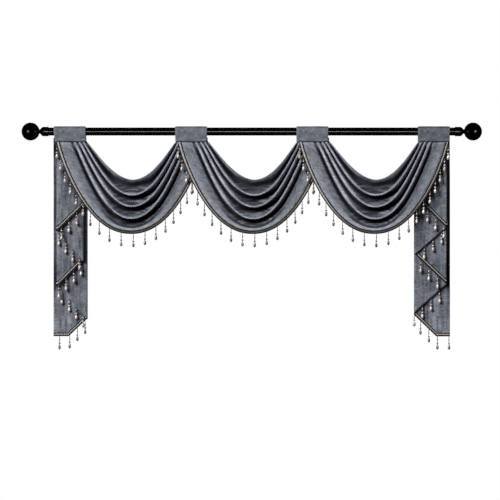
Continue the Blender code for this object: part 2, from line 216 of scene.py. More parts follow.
# A swag's strand hangs clear when its root is below CLEAR_BELOW and this near the middle of the drape
CLEAR_BELOW = -0.225
CLEAR_WITHIN = 0.742
DROP = (
    # below the braid, radius: a turned drop with its widest part low down
    (0.0375, 0.0008),
    (0.0392, 0.0022),
    (0.0418, 0.0036),
    (0.0448, 0.0047),
    (0.0480, 0.0055),
    (0.0512, 0.0059),
    (0.0545, 0.0057),
    (0.0572, 0.0048),
    (0.0594, 0.0034),
    (0.0608, 0.0018),
    (0.0614, 0.0004),
)


def smooth_step(t):
    t = np.clip(t, 0, 1)
    return t * t * (3 - 2 * t)


def climb(at, begins, over):
    """0 up to where it begins, then smoothly up to 1 over a length."""
    return smooth_step((at - begins) / over)


def fade(start, end, share):
    return start + (end - start) * share


def bell(at, middle, reach, power=2):
    """1 in the middle, and nearly nothing from twice the reach on; flatter on top for a higher power."""
    return np.exp(-(((at - middle) / reach) ** power))


def unit(vectors):
    return vectors / np.linalg.norm(vectors, axis=-1, keepdims=True)


def soft_noise(u, v, seed):
    """Smooth noise from -1 to 1 over a plane, the same on each run."""
    size = 64
    table = np.random.default_rng(seed).uniform(-1, 1, (size, size))
    iu, iv = np.floor(u).astype(int), np.floor(v).astype(int)
    fu, fv = smooth_step(u - iu), smooth_step(v - iv)
    a, b = table[iu % size, iv % size], table[(iu + 1) % size, iv % size]
    c, d = table[iu % size, (iv + 1) % size], table[(iu + 1) % size, (iv + 1) % size]
    return (a + (b - a) * fu) * (1 - fv) + (c + (d - c) * fu) * fv


# ---------------------------------------------------------------- meshes


def grid_normals(grid):
    """Unit normals, which face the room where rows run down and columns to the right."""
    return unit(np.cross(np.gradient(grid, axis=0), np.gradient(grid, axis=1)))


def walked(grid, axis):
    """Distances along rows or columns of a grid, which become its UV coordinates."""
    step = np.linalg.norm(np.diff(grid, axis=axis), axis=2)
    start = np.zeros_like(np.take(step, [0], axis=axis))
    return np.concatenate([start, np.cumsum(step, axis=axis)], axis=axis)


def grid_faces(rows, columns):
    """Faces of a closed sheet: its front grid, its back grid and the rim between them."""
    at = np.arange(rows * columns).reshape(rows, columns)
    a, b, d, e = at[:-1, :-1], at[:-1, 1:], at[1:, :-1], at[1:, 1:]
    front = np.stack([a, d, e, b], axis=-1).reshape(-1, 4)
    back = np.stack([a, b, e, d], axis=-1).reshape(-1, 4) + rows * columns
    rim = np.concatenate([at[0, :-1], at[:-1, -1], at[-1, :0:-1], at[:0:-1, 0]])
    ahead = np.roll(rim, -1)
    side = np.stack([rim, ahead, ahead + rows * columns, rim + rows * columns], axis=-1)
    return np.concatenate([front, back, side])


def make_piece(name, points, faces, material, uv=None, values=None):
    """A mesh object that rides on the part. values are numbers kept at each point for its material."""
    mesh = bpy.data.meshes.new(name)
    mesh.from_pydata(np.asarray(points, dtype=float).tolist(), [], [list(map(int, f)) for f in faces])
    if uv is not None:
        layer = mesh.uv_layers.new(name="UVMap")
        corners = np.empty(len(mesh.loops), dtype=np.int32)
        mesh.loops.foreach_get("vertex_index", corners)
        layer.data.foreach_set("uv", np.asarray(uv, dtype=np.float32)[corners].ravel())
    for key, numbers in (values or {}).items():
        held = mesh.attributes.new(key, "FLOAT", "POINT")
        held.data.foreach_set("value", np.asarray(numbers, dtype=np.float32))
    mesh.shade_smooth()
    mesh.materials.append(material)
    piece = bpy.data.objects.new(name, mesh)
    bpy.context.scene.collection.objects.link(piece)
    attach(piece, "root")
    return piece


def sheet_piece(name, grid, thickness, material, values, offset=0.0):
    """A closed sheet whose middle surface is the grid, moved by offset towards the room. thickness and offset
    may vary over the grid, and values is what its material reads at each of the grid's points."""
    normal = grid_normals(grid)
    half = (np.zeros(grid.shape[:2]) + thickness)[:, :, None] / 2
    middle = grid + normal * (np.zeros(grid.shape[:2]) + offset)[:, :, None]
    points = np.concatenate([middle + normal * half, middle - normal * half]).reshape(-1, 3)
    uv = np.stack([walked(grid, 1), walked(grid, 0)], axis=-1).reshape(-1, 2)
    twice = {key: np.tile(np.asarray(held).ravel(), 2) for key, held in values.items()}
    faces = grid_faces(*grid.shape[:2])
    return make_piece(name, points, faces, material, np.tile(uv, (2, 1)), twice)


def turned(profile, steps, axis):
    """Points and faces of a solid turned about an axis (0 for X, 2 for Z), from (place, radius) pairs."""
    points, faces = [], []
    for place, radius in profile:
        for k in range(steps):
            turn = 2 * np.pi * k / steps
            c, s = radius * np.cos(turn), radius * np.sin(turn)
            points.append((place, c, s) if axis == 0 else (c, s, place))
    for ring in range(len(profile) - 1):
        for k in range(steps):
            a, b = ring * steps + k, ring * steps + (k + 1) % steps
            faces.append((a, b, b + steps, a + steps))
    last = (len(profile) - 1) * steps
    faces.append(tuple(reversed(range(steps))))
    faces.append(tuple(range(last, last + steps)))
    return np.array(points), faces


# ---------------------------------------------------------------- materials


def new_material(name):
    material = bpy.data.materials.new(name)
    material.use_nodes = True
    tree = material.node_tree
    return material, tree.nodes, tree.links, tree.nodes["Principled BSDF"]


def ramp(nodes, links, value, stops):
    """The colour that a value output picks from (place, colour) stops."""
    node = nodes.new("ShaderNodeValToRGB")
    node.color_ramp.elements[0].position = stops[0][0]
    node.color_ramp.elements[0].color = (*stops[0][1], 1)
    node.color_ramp.elements[1].position = stops[-1][0]
    node.color_ramp.elements[1].color = (*stops[-1][1], 1)
    for place, colour in stops[1:-1]:
        node.color_ramp.elements.new(place).color = (*colour, 1)
    links.new(value, node.inputs["Fac"])
    return node.outputs["Color"]


def noise(nodes, links, vector, scale, detail, stretch=None):
    """A noise texture over a vector output, which stretch scales first."""
    if stretch:
        mapping = nodes.new("ShaderNodeMapping")
        mapping.inputs["Scale"].default_value = stretch
        links.new(vector, mapping.inputs["Vector"])
        vector = mapping.outputs["Vector"]
    node = nodes.new("ShaderNodeTexNoise")
    node.inputs["Scale"].default_value = scale
    node.inputs["Detail"].default_value = detail
    links.new(vector, node.inputs["Vector"])
    return node.outputs["Fac"]


def math_node(nodes, links, operation, *values):
    """The result of an operation on outputs and plain numbers."""
    node = nodes.new("ShaderNodeMath")
    node.operation = operation
    for socket, value in zip(node.inputs, values):
        if hasattr(value, "is_output"):
            links.new(value, socket)
        else:
            socket.default_value = value
    return node.outputs["Value"]


def bump(nodes, links, height, distance, strength, before=None):
    node = nodes.new("ShaderNodeBump")
    node.inputs["Strength"].default_value = strength
    node.inputs["Distance"].default_value = distance
    links.new(height, node.inputs["Height"])
    if before is not None:
        links.new(before, node.inputs["Normal"])
    return node.outputs["Normal"]


def kept_value(nodes, name):
    """The number that a mesh keeps at its points under this name."""
    node = nodes.new("ShaderNodeAttribute")
    node.attribute_name = name
    return node.outputs["Fac"]


def uv_plane(nodes):
    node = nodes.new("ShaderNodeUVMap")
    node.uv_map = "UVMap"
    return node.outputs["UV"]


def times(nodes, links, colour, factor):
    node = nodes.new("ShaderNodeVectorMath")
    node.operation = "SCALE"
    links.new(colour, node.inputs[0])
    links.new(factor, node.inputs["Scale"])
    return node.outputs["Vector"]


def slate_chenille():
    """Slate chenille velvet with a mottled pile. A value kept on the mesh sets its tone and paints the light
    and shade of the folds: painted highlights on crests, painted shade down in creases.
    """
    material, nodes, links, shader = new_material("slate_chenille")
    plane = uv_plane(nodes)
    patches = noise(nodes, links, plane, 40, 3.0, (0.6, 1.0, 1.0))
    flecks = noise(nodes, links, plane, 130, 2.0, (0.6, 1.0, 1.0))
    yarn = noise(nodes, links, plane, 900, 1.0, (0.5, 1.0, 1.0))
    # the cloth's tone with painted light and shade, kept on the mesh
    tone_and_painted_light = kept_value(nodes, "tone_and_painted_light")
    patchy = math_node(nodes, links, "MULTIPLY_ADD", patches, 0.50, -0.25)
    flecked = math_node(nodes, links, "MULTIPLY_ADD", flecks, 0.56, -0.28)
    pile = math_node(nodes, links, "ADD", patchy, flecked)
    reach = math_node(nodes, links, "MULTIPLY_ADD", tone_and_painted_light, 1.2, 0.25)
    pile = math_node(nodes, links, "MULTIPLY", pile, reach)
    shade = math_node(nodes, links, "ADD", tone_and_painted_light, pile)
    greys = (
        (0.00, (0.0014, 0.0015, 0.0019)),
        (0.25, (0.040, 0.044, 0.053)),
        (0.50, (0.152, 0.166, 0.195)),
        (0.75, (0.290, 0.308, 0.350)),
        (1.00, (0.470, 0.490, 0.545)),
    )
    links.new(ramp(nodes, links, shade, greys), shader.inputs["Base Color"])
    rough = math_node(nodes, links, "MULTIPLY_ADD", patches, 0.22, 0.66)
    links.new(rough, shader.inputs["Roughness"])
    tufts = bump(nodes, links, yarn, 0.0006, 0.6)
    links.new(bump(nodes, links, flecks, 0.0016, 0.5, tufts), shader.inputs["Normal"])
    shader.inputs["Specular IOR Level"].default_value = 0.12
    shader.inputs["Sheen Weight"].default_value = 0.05
    shader.inputs["Sheen Roughness"].default_value = 0.45
    shader.inputs["Sheen Tint"].default_value = (0.72, 0.76, 0.86, 1)
    return material


def gimp_braid():
    """Braid of two black cords with a beige gimp between them. The mesh's across value is about 0 at its top
    edge and 1 at its bottom edge, and its lit value scales its colour with painted light and shade."""
    material, nodes, links, shader = new_material("gimp_braid")
    plane = uv_plane(nodes)
    black, beige = (0.006, 0.006, 0.007), (0.52, 0.47, 0.43)
    bands = ((0.0, black), (0.34, black), (0.40, beige), (0.62, beige), (0.68, black), (1.0, black))
    stripes = ramp(nodes, links, kept_value(nodes, "across"), bands)
    twist = nodes.new("ShaderNodeTexWave")
    twist.wave_type = "BANDS"
    twist.bands_direction = "DIAGONAL"
    twist.inputs["Scale"].default_value = 70
    twist.inputs["Distortion"].default_value = 1.5
    links.new(plane, twist.inputs["Vector"])
    fleck = math_node(nodes, links, "MULTIPLY_ADD", noise(nodes, links, plane, 160, 2.0), 0.8, 0.7)
    shade = math_node(nodes, links, "MULTIPLY_ADD", twist.outputs["Fac"], 0.45, 0.45)
    shade = math_node(nodes, links, "MULTIPLY", shade, fleck)
    shade = math_node(nodes, links, "MULTIPLY", shade, kept_value(nodes, "painted_lit"))
    links.new(times(nodes, links, stripes, shade), shader.inputs["Base Color"])
    links.new(bump(nodes, links, twist.outputs["Fac"], 0.0010, 0.8), shader.inputs["Normal"])
    shader.inputs["Roughness"].default_value = 0.55
    shader.inputs["Specular IOR Level"].default_value = 0.3
    return material


def pearl_beads():
    """Pearly plastic beads with a rosy tint that differs from bead to bead."""
    material, nodes, links, shader = new_material("pearl_beads")
    place = nodes.new("ShaderNodeTexCoord").outputs["Object"]
    rosy = ((0.30, (0.33, 0.25, 0.23)), (0.50, (0.45, 0.38, 0.36)), (0.70, (0.54, 0.50, 0.50)))
    tint = ramp(nodes, links, noise(nodes, links, place, 55, 1.0), rosy)
    # each bead's tone, with painted shade on clear strands and painted light on those over cloth
    links.new(times(nodes, links, tint, kept_value(nodes, "bead_tone_and_painted_light")), shader.inputs["Base Color"])
    rough = math_node(nodes, links, "MULTIPLY_ADD", noise(nodes, links, place, 400, 2.0), 0.2, 0.25)
    links.new(rough, shader.inputs["Roughness"])
    shader.inputs["Metallic"].default_value = 0.15
    shader.inputs["Coat Weight"].default_value = 0.6
    shader.inputs["Coat Roughness"].default_value = 0.08
    return material


def black_lacquer():
    """Gloss black lacquer over turned wood, with the faint unevenness of a brushed coat."""
    material, nodes, links, shader = new_material("black_lacquer")
    place = nodes.new("ShaderNodeTexCoord").outputs["Object"]
    grain = noise(nodes, links, place, 60, 3.0, (0.15, 1.0, 1.0))
    blacks = ((0.3, (0.0022, 0.0022, 0.0025)), (0.7, (0.0045, 0.0044, 0.0046)))
    links.new(ramp(nodes, links, grain, blacks), shader.inputs["Base Color"])
    links.new(math_node(nodes, links, "MULTIPLY_ADD", grain, 0.08, 0.14), shader.inputs["Roughness"])
    return material


VELVET = slate_chenille()
BRAID = gimp_braid()
BEADS = pearl_beads()
LACQUER = black_lacquer()

# ---------------------------------------------------------------- rod and finials


def finial_profile():
    """(x, radius) of the right finial: a collar, its shoulder and neck, and the ball."""
    start = ROD_HALF_LENGTH + GAP
    neck = start + COLLAR_LENGTH
    ball = neck + NECK_LENGTH + np.sqrt(BALL_RADIUS**2 - NECK_RADIUS**2)
    profile = [(start, COLLAR_RADIUS - COLLAR_EDGE), (start + COLLAR_EDGE, COLLAR_RADIUS)]
    for share in np.linspace(0, 1, COLLAR_PROFILE - len(profile)):
        radius = NECK_RADIUS + (COLLAR_RADIUS - NECK_RADIUS) * np.cos(share * np.pi / 2)
        profile.append((neck - SHOULDER_LENGTH * (1 - share), radius))
    first = np.arcsin(NECK_RADIUS / BALL_RADIUS)
    for angle in np.linspace(first, np.pi - 0.02, BALL_STEPS):
        profile.append((ball - BALL_RADIUS * np.cos(angle), BALL_RADIUS * np.sin(angle)))
    return profile


def lacquered(name, profile):
    points, faces = turned(profile, ROUND_STEPS, 0)
    piece = make_piece(name, points, faces, LACQUER)
    piece.data.set_sharp_from_angle(angle=SHARP_ANGLE)
    return piece


def build_rod():
    ends = [(ROD_HALF_LENGTH, ROD_RADIUS - ROD_EDGE), (ROD_HALF_LENGTH - ROD_EDGE, ROD_RADIUS)]
    rod = lacquered("rod_lacquered", [(-x, radius) for x, radius in ends] + ends[::-1])
    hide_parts("rod")
    whole = finial_profile()
    collar, ball = whole[:COLLAR_PROFILE], whole[COLLAR_PROFILE - 1 :]
    for side, way in (("left", -1), ("right", 1)):
        for part, profile in (("collar", collar), ("ball", ball)):
            piece = lacquered(f"finial_{side}_{part}", [(way * x, radius) for x, radius in profile][::way])
            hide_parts(f"finial_{side}")


# ---------------------------------------------------------------- tabs


def tab_centre(k):
    return (k - 1.5) * TAB_PITCH


def tab_grid(k):
    """A tab's middle surface as rows, from its back leg's foot over the rod to the foot in front."""
    radius = TAB_FACE + TAB_CLOTH / 2
    front = [(-radius, z) for z in np.linspace(TAB_BOTTOM, 0, TAB_LEG_ROWS, endpoint=False)]
    arc = [(-radius * np.cos(a), radius * np.sin(a)) for a in np.linspace(0, np.pi, TAB_ARC_ROWS)]
    back = [(radius, z) for z in np.linspace(0, TAB_BOTTOM, TAB_LEG_ROWS)[1:]]
    line = np.array(front + arc + back)
    across = np.linspace(-1, 1, TAB_COLUMNS)
    y, z = line[:, :1] + 0 * across, line[:, 1:] + 0 * across
    # it leans, its foot's corners are drawn in, and its front and top are wavy
    below = np.clip(z / TAB_BOTTOM, 0, 1)
    lean = TAB_LEANS[k] + TAB_SWAY * soft_noise(k * 3.7, 0.5, 5)
    x = tab_centre(k) + across * TAB_WIDTH / 2 + below * lean
    x = x - TAB_PINCH * below * np.sign(across) * np.abs(across) ** 6
    wave = TAB_WAVE * soft_noise(x * 45 + k * 9, z * 30 + (y > 0) * 7, 11)
    grid = np.stack([x, y + wave * (y < 0), z + wave * 0.4 * (z > 0.5 * radius)], axis=-1)
    return grid[::-1]


def build_tabs():
    for k, tone_and_painted_light in enumerate(TAB_TONES_AND_SHADE):
        grid = tab_grid(k)
        front = grid[:, :, 1] < 0
        z = grid[:, :, 2]
        # painted shade on the front where the cloth turns over the top of the rod; a little lighter at the
        # seam and the foot
        seam = bell(z - TAB_BOTTOM, SEAM_ABOVE_FOOT, 0.0030)
        foot = bell(z, TAB_BOTTOM, 0.0035)
        tone_and_painted_light = tone_and_painted_light + 0.06 * seam + 0.02 * foot - 0.14 * climb(z, 0.0100, 0.010) * front
        across = np.linspace(-1, 1, grid.shape[1])
        thick = TAB_CLOTH * (0.92 - 0.56 * foot - 0.10 * seam)
        thick = thick * (1 - 0.45 * np.abs(across)[None, :] ** 24)
        piece = sheet_piece(f"tab_{k + 1}_cloth", grid, thick, VELVET, {"tone_and_painted_light": tone_and_painted_light})
        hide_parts(f"tab_{k + 1}")


# ---------------------------------------------------------------- swags


def fold_line(half_width, drop, bow, ease, shares):
    """x and z at shares of a fold line's length."""
    u = np.sin(np.linspace(-np.pi / 2, np.pi / 2, LINE_STEPS))
    z = -drop * (1 - np.abs(u) ** bow) ** ease
    top_drop, hem_drop = FOLD_LINES[0][2], FOLD_LINES[-1][2]
    lean = SWAG_LEAN * (hem_drop - drop) / (hem_drop - top_drop)
    x = half_width * u - lean * z / drop
    length = np.concatenate([[0], np.cumsum(np.hypot(np.diff(x), np.diff(z)))])
    at = np.asarray(shares) * length[-1]
    return np.interp(at, length, x), np.interp(at, length, z)


def base_depth(share, ends):
    """Depth of a swag's cloth without its folds, at shares of its width."""
    left, right = ends
    t = 2 * share - 1
    return left + (right - left) * smooth_step(share) - SWAG_BULGE * (1 - t * t) ** 1.5


def line_points(row, shares, ends):
    """The points of one of the FOLD_LINES at shares of its length."""
    _, half_width, drop, bow, ease, lift_end, lift_mid = row
    x, z = fold_line(half_width, drop, bow, ease, shares)
    t = 2 * shares - 1
    lift = lift_end + (lift_mid - lift_end) * np.clip(1 - t * t, 0, 1) ** 0.8
    return np.stack([x, base_depth(shares, ends) - lift, SPREAD_FROM + z], axis=-1)


def is_crest(name):
    return name.startswith("crest") or name == "top_edge"


def is_crease(name):
    return name.startswith("crease")


def shifted_crease(line, above, below, shares):
    """A crease's points, moved down towards the crest below it on the swag's right flank."""
    moved = climb(shares, FLANK_FROM, FLANK_OVER) * climb(1 - shares, 0, FLANK_END)
    low = above + (below - above) * FLANK_CREASE
    line = line.copy()
    line[:, ::2] += (low - line)[:, ::2] * moved[:, None]
    return line


def swag_lines(shares, ends):
    """The points of each fold line, from the top edge to the hem."""
    lines = [line_points(row, shares, ends) for row in FOLD_LINES]
    for n, row in enumerate(FOLD_LINES):
        if is_crease(row[0]):
            lines[n] = shifted_crease(lines[n], lines[n - 1], lines[n + 1], shares)
    return lines


# The next three functions give the painted light and shade of a swag's left flank, right flank and middle,
# with the light from the left. t is 0 in the middle and 1 at the ends, and the last argument is the tone of
# the deepest painted shade there.


def painted_panel_light(far, t):
    """Painted light and shade on the plain band along the hem, far of the way down it."""
    loose = climb(1 - t, 0, 0.22)
    left = 0.58 + loose * (0.32 * far**1.3 - 0.10)
    right = 0.37 + 0.20 * np.sin(np.pi * np.clip(far * 1.15, 0, 1)) ** 1.5
    right = right + 0.16 * loose * bell(far, 0.60, 0.10)
    right = right - 0.16 * climb(far, 0.66, 0.16)
    return left, right, 0.20 + 0.64 * climb(far, 0.14, 0.24)


def painted_light_below_crest(upper, w, deepest_painted_shade):
    """Painted highlight and shade at w of the way from a crest down to its crease. The light comes from the
    left, so that a crest's left side is sharp and its right side fades."""
    if upper == "top_edge":
        flank = fade(0.60, deepest_painted_shade, climb(w, 0.42, 0.36))
        return flank, flank, 0.46 - 0.24 * climb(w, 0, 0.5)
    left = fade(0.88, deepest_painted_shade, climb(w, 0.34, 0.38))
    right = fade(0.70, deepest_painted_shade, climb(w, 0.18, 0.78))
    return left, right, 0.92 - 0.92 * climb(w, 0.02, 0.32)


def painted_light_above_crest(lower, w, deepest_painted_shade):
    """Painted shade and highlight at w of the way from a crease down to the next crest."""
    top = {"crest_4": 0.38, "crest_1": 0.74}.get(lower, 0.86)
    left = fade(deepest_painted_shade, top, climb(w, 0.34 if lower == "crest_1" else 0.06, 0.66))
    right = fade(deepest_painted_shade, top * 0.9, climb(w, 0.30, 0.45))
    centre = 0.03 + 0.30 * climb(w, 0.12, 0.35) + 0.60 * climb(w, 0.84, 0.14)
    if lower == "crest_1":
        centre = 0.20 + 0.10 * climb(w, 0, 0.4) + 0.60 * climb(w, 0.82, 0.16)
    if lower == "crest_4":
        centre = 0.06 + 0.26 * climb(w, 0.15, 0.5)
    return left, right, centre


def painted_fold_light(upper, lower, w, shares):
    """Painted light at w of the way from one fold line to the next: 0 painted shade, 0.5 plain, 1 painted
    highlight.
    """
    t = np.abs(2 * shares - 1)
    # the creases' painted shade is lighter near the tabs
    deepest_painted_shade = 0.40 * climb(t, 0.91, 0.07)
    on_panel = lower in ("panel", "hem")
    if on_panel:
        left, right, centre = painted_panel_light(w / 2 if lower == "panel" else 0.5 + w / 2, t)
    elif is_crest(upper):
        left, right, centre = painted_light_below_crest(upper, w, deepest_painted_shade)
    else:
        left, right, centre = painted_light_above_crest(lower, w, deepest_painted_shade)
    flank = np.where(shares < 0.5, left, right)
    if not on_panel:
        flank = fade(flank, 0.55, 0.7 * climb(t, 0.87, 0.11))
    return fade(flank, centre, bell(t, 0, 0.31, 4))


def share_of_depth(upper, w):
    """w turned into the way in depth from one fold line to the next, so that crests are round."""
    if is_crest(upper):
        return (1 - np.cos(np.pi * w**CREST_ROUND)) / 2
    return 1 - (1 - np.cos(np.pi * (1 - w) ** CREST_ROUND)) / 2


def swag_grid(k, ends, shares):
    """The swag's middle surface as rows from its top edge to its hem, and its tone with painted light and
    shade.
    """
    rows, tones_and_painted_light = [], []
    t = 2 * shares - 1
    lines = swag_lines(shares, ends)
    names = [row[0] for row in FOLD_LINES]
    for n, (upper, lower) in enumerate(zip(names, names[1:])):
        folded = is_crease(upper) or is_crease(lower)
        a, b = lines[n], lines[n + 1]
        for w in np.linspace(0, 1, ROWS_TO_CREASE if folded else ROWS_ON_PANEL, endpoint=False):
            mix = a + (b - a) * w
            tone_and_painted_light = painted_fold_light(upper, lower, w, shares)
            if folded:
                mix[:, 1] = a[:, 1] + (b[:, 1] - a[:, 1]) * share_of_depth(upper, w)
            else:
                tone_and_painted_light = tone_and_painted_light + 0.06 * soft_noise(shares * 70 + k * 5, (n + w) * 9, 91 + k)
            if is_crease(upper):
                # level wrinkles in the middle of the swag, with painted light where they stand out and
                # painted shade where they sink
                streak = soft_noise(mix[:, 0] * 17 + k * 11, mix[:, 2] * 210 + mix[:, 0] ** 2 * 300, 21 + k)
                place = bell(t, 0, 0.30, 4) * np.sin(np.pi * w) ** 0.7
                mix[:, 1] -= WRINKLE_DEPTH * streak * place
                tone_and_painted_light = tone_and_painted_light + WRINKLE_PAINTED_LIGHT * streak * place
            # painted light just under a tab's edge, which lifts the shade there
            tone_and_painted_light = tone_and_painted_light + 0.34 * np.exp((mix[:, 2] - TAB_BOTTOM) / 0.006) * (mix[:, 2] < TAB_BOTTOM + 0.001)
            rows.append(mix)
            tones_and_painted_light.append(tone_and_painted_light)
    rows.append(lines[-1])
    tones_and_painted_light.append(painted_fold_light("panel", "hem", 1.0, shares))
    grid, tone_and_painted_light = np.array(rows), np.clip(np.array(tones_and_painted_light), 0, 1)
    # the hang is uneven: no two swags fold quite alike
    down = np.linspace(0, 1, len(grid))[:, None]
    hold = np.sin(np.pi * down) * np.clip(1 - t * t, 0, 1) ** 0.5
    grid[:, :, 2] += HANG_DOWN * hold * soft_noise(shares * 5 + k * 7, down * 3, 31)
    grid[:, :, 1] += HANG_OUT * hold * soft_noise(shares * 9 + k * 5, down * 5, 41)
    return grid, tone_and_painted_light


def with_headers(grid, tone_and_painted_light):
    """The same with a column more at each end, which stands up between the legs of a tab."""
    left, right = grid[:, :1].copy(), grid[:, -1:].copy()
    left[:, :, 2] = HEADER_TOP
    right[:, :, 2] = HEADER_TOP
    return np.concatenate([left, grid, right], axis=1), np.pad(tone_and_painted_light, ((0, 0), (1, 1)), mode="edge")


def swag_centre(k):
    return (k - 1) * TAB_PITCH + SWAG_SHIFT


def hem_length():
    x, z = fold_line(*FOLD_LINES[-1][1:5], np.linspace(0, 1, 400))
    return float(np.hypot(np.diff(x), np.diff(z)).sum())


def strand_sites(length):
    """How far along a swag's hem each of its strands hangs."""
    number = np.arange(-STRANDS_A_SIDE, STRANDS_A_SIDE + 1)
    left, right = STRAND_SPACINGS
    return length / 2 + STRAND_PHASE + number * np.where(number < 0, left - STRAND_SPREAD * number, right)


def swag_braid(shares, ends):
    """The braid's bottom edge on the hem, and the unit direction across it, towards its top edge."""
    panel, hem = FOLD_LINES[-2:]
    bottom, inner = line_points(hem, shares, ends), line_points(panel, shares, ends)
    towards = unit(inner - bottom)
    run = unit(np.gradient(bottom, axis=0))
    return bottom, unit(towards - run * np.sum(towards * run, axis=1, keepdims=True))


def swag_braid_rows(bottom, square):
    rows = []
    for up in np.linspace(BRAID_WIDTH, 0, BRAID_ROWS):
        row = bottom + square * up
        row[:, 2] = np.minimum(row[:, 2], BRAID_TOP)
        rows.append(row)
    return rows


def bulge(across, start, width):
    return np.maximum(0, np.sin(np.pi * np.clip((across - start) / width, 0, 1)))


def braid_piece(name, rows, painted_lit, breadth, line=0.5):
    """Braid from its rows, top edge first: two round cords, and a gimp between them. Its light line runs at
    this share of the way across, and is as broad as the gimp where breadth is 1."""
    across = np.linspace(0, 1, len(rows))
    cords = bulge(across, 0, 0.33) + bulge(across, 0.67, 0.33)
    extra = CORD_DEPTH * cords + GIMP_DEPTH * bulge(across, 0.33, 0.34)
    grid = np.array(rows)
    plain = np.zeros(grid.shape[:2])
    thick = plain + (BRAID_CLOTH * 0.6 + extra)[:, None]
    offset = CLOTH / 2 + BRAID_GAP + thick / 2
    shown = plain + 0.5 + (across[:, None] - line) / breadth
    values = {"across": shown, "painted_lit": plain + painted_lit}
    return sheet_piece(name, grid, thick, BRAID, values, offset)


# ---------------------------------------------------------------- bead strands


def bead_profile(middle, radius, tall, rings):
    turns = np.linspace(0.12, np.pi - 0.12, rings)
    return [(-middle + radius * tall * np.cos(a), radius * np.sin(a)) for a in turns]


def strand_mesh():
    """Points and faces of one strand that hangs from the origin, and how light each point is: 1 on beads,
    less on seeds.
    """
    parts = [turned([(0.0, THREAD_RADIUS), (-THREAD_LENGTH, THREAD_RADIUS)], 6, 2)]
    for start, end in SEED_RUNS:
        count = round((end - start) / SEED_PITCH) + 1
        for middle in np.linspace(start, end, count):
            parts.append(turned(bead_profile(middle, SEED_RADIUS, 0.85, 5), 8, 2))
    seeds = len(parts)
    for middle, radius, tall in STRAND_BEADS:
        parts.append(turned(bead_profile(middle, radius, tall, 9), 14, 2))
    parts.append(turned([(-z, r) for z, r in DROP], 16, 2))
    points, faces, bead_tone_and_painted_light, start = [], [], [], 0
    for number, (more, round_faces) in enumerate(parts):
        points.append(more)
        bead_tone_and_painted_light.append(np.full(len(more), SEED_GLOW if number < seeds else 1.0))
        # the profiles run downwards, so faces are turned over to face out
        faces += [tuple(start + i for i in reversed(f)) for f in round_faces]
        start += len(more)
    return np.concatenate(points), faces, np.concatenate(bead_tone_and_painted_light)


STRAND_POINTS, STRAND_FACES, STRAND_GLOW = strand_mesh()


def beads_piece(name, roots, seed, clear):
    """Strands that hang from the roots, each with a slight lean and length of its own. The clear ones, with
    nothing behind them, are more slender and darkened with painted shade; those over cloth get painted light."""
    rng = np.random.default_rng(seed)
    points, faces, bead_tone_and_painted_light = [], [], []
    for n, root in enumerate(roots):
        shape = STRAND_POINTS.copy()
        shape[:, :2] *= 1.0 if clear[n] else OVER_CLOTH
        turn = rng.uniform(0, 2 * np.pi)
        x, y = shape[:, 0].copy(), shape[:, 1].copy()
        shape[:, 0] = x * np.cos(turn) - y * np.sin(turn)
        shape[:, 1] = x * np.sin(turn) + y * np.cos(turn)
        shape[:, 2] *= rng.uniform(0.985, 1.0)
        shape[:, 0] += shape[:, 2] * rng.uniform(-0.018, 0.018)
        points.append(shape + root)
        faces += [tuple(n * len(shape) + i for i in f) for f in STRAND_FACES]
        # painted shade on the clear strands, painted light on those over cloth
        bead_tone_and_painted_light.append(STRAND_GLOW * (CLEAR_PAINTED_SHADE if clear[n] else CLOTH_PAINTED_LIGHT))
    values = {"bead_tone_and_painted_light": np.concatenate(bead_tone_and_painted_light)}
    return make_piece(name, np.concatenate(points), faces, BEADS, values=values)


def swag_strand_roots(k, ends, sites, stations, bottom, square):
    """Where strands hang at these shares of the hem: in the braid's bottom edge, in front of the cloth."""
    normal = unit(np.cross(-square, np.gradient(bottom, axis=0)))
    normal = np.array([np.interp(sites, stations, normal[:, i]) for i in range(3)]).T
    on_hem, _ = swag_braid(sites, ends)
    on_hem[:, 0] += swag_centre(k)
    return on_hem + normal * ROOT_OFFSET


def build_swag(k, ends):
    number = k + 1
    grid, tone_and_painted_light = with_headers(*swag_grid(k, ends, np.linspace(0, 1, SWAG_COLUMNS)))
    grid[:, :, 0] += swag_centre(k)
    cloth = sheet_piece(f"swag_{number}_cloth", grid, SHEET, VELVET, {"tone_and_painted_light": tone_and_painted_light})
    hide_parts(f"swag_{number}")

    length = hem_length()
    stations = np.linspace(BRAID_START, length - BRAID_START, BRAID_COLUMNS) / length
    bottom, square = swag_braid(stations, ends)
    bottom[:, 0] += swag_centre(k)
    t = 2 * stations - 1
    # painted shade and light on the braid: darker under the middle of the hem, where it faces down, lighter
    # at the ends
    painted_lit = 1.0 + 0.45 * np.abs(t) ** 6 - 0.74 * bell(t, 0.05, 0.40, 4)
    breadth = 1.0 + 0.40 * climb(-t, 0.35, 0.35)
    braid = braid_piece(f"swag_{number}_braid", swag_braid_rows(bottom, square), painted_lit, breadth)
    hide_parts(f"swag_fringe_{number}")

    roots = swag_strand_roots(k, ends, strand_sites(length) / length, stations, bottom, square)
    clear = (roots[:, 2] < CLEAR_BELOW) & (np.abs(roots[:, 0]) < CLEAR_WITHIN)
    beads = beads_piece(f"swag_{number}_beads", roots, 100 + k, clear)
    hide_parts(f"swag_fringe_{number}")


def build_swags():
    for k, ends in enumerate(SWAG_ENDS):
        build_swag(k, ends)


# ---------------------------------------------------------------- tails


def opened(z):
    """0 where the tab presses a tail flat, and 1 where its folds have spread."""
    return smooth_step((TAIL_PRESSED_TO - z) / (TAIL_PRESSED_TO - TAIL_OPEN_FROM))


# One place along a tail's width: its share of the way to the inner folds, its layer (0 in front), the hem's
# height there, how far the cloth swells out round a fold, and how far up from the hem the braid reaches
Station = namedtuple("Station", "share layer hem swell rise")


